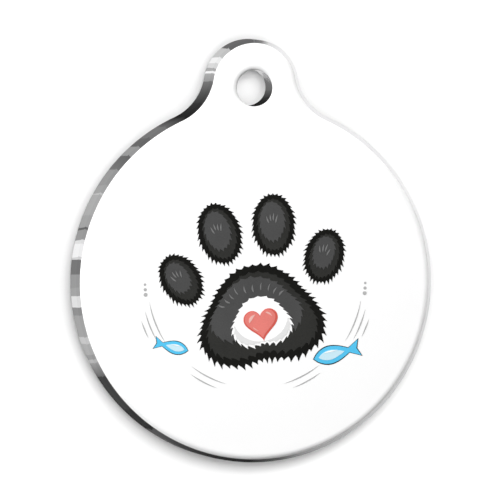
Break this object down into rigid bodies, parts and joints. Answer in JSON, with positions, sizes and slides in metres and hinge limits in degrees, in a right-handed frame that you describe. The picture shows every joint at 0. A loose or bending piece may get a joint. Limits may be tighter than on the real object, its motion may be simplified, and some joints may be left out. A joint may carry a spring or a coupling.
{
  "type": "pet id tag",
  "caption": "Round pet id tag with a ring ear: thick polished metal blank with a bevelled front edge, a white coat on each face and a printed paw, heart and fish motif.",
  "frame": {"origin": "centre of the round disc, on the outside of the back coat, which the tag lies on", "axes": "+Z out of the printed front face, +Y from the disc's centre towards the ring ear, +X to the right as the printed face is looked at with the ear up"},
  "size_m": [0.0318, 0.0372, 0.0037],
  "materials": {
    "plated_metal": "mirror polished plating with fine handling scratches",
    "white_coat": "smooth glossy white resin coat",
    "black_ink": "satin printed ink",
    "charcoal_ink": "satin printed ink",
    "grey_ink": "satin printed ink",
    "light_grey_ink": "satin printed ink",
    "white_ink": "satin printed ink",
    "pale_grey_ink": "satin printed ink",
    "line_grey_ink": "satin printed ink",
    "blue_ink": "satin printed ink",
    "pale_blue_ink": "satin printed ink",
    "dark_coral_ink": "satin printed ink",
    "coral_ink": "satin printed ink",
    "pink_ink": "satin printed ink"
  },
  "bodies": {
    "root": {"metal_blank": "plated_metal", "front_coat": "white_coat", "back_coat": "white_coat", "ink_black": "black_ink", "ink_charcoal": "charcoal_ink", "ink_grey": "grey_ink", "ink_light_grey": "light_grey_ink", "ink_white": "white_ink", "ink_pale_grey": "pale_grey_ink", "ink_line_grey": "line_grey_ink", "ink_blue": "blue_ink", "ink_pale_blue": "pale_blue_ink", "ink_dark_coral": "dark_coral_ink", "ink_coral": "coral_ink", "ink_pink": "pink_ink"}
  },
  "joints": []
}
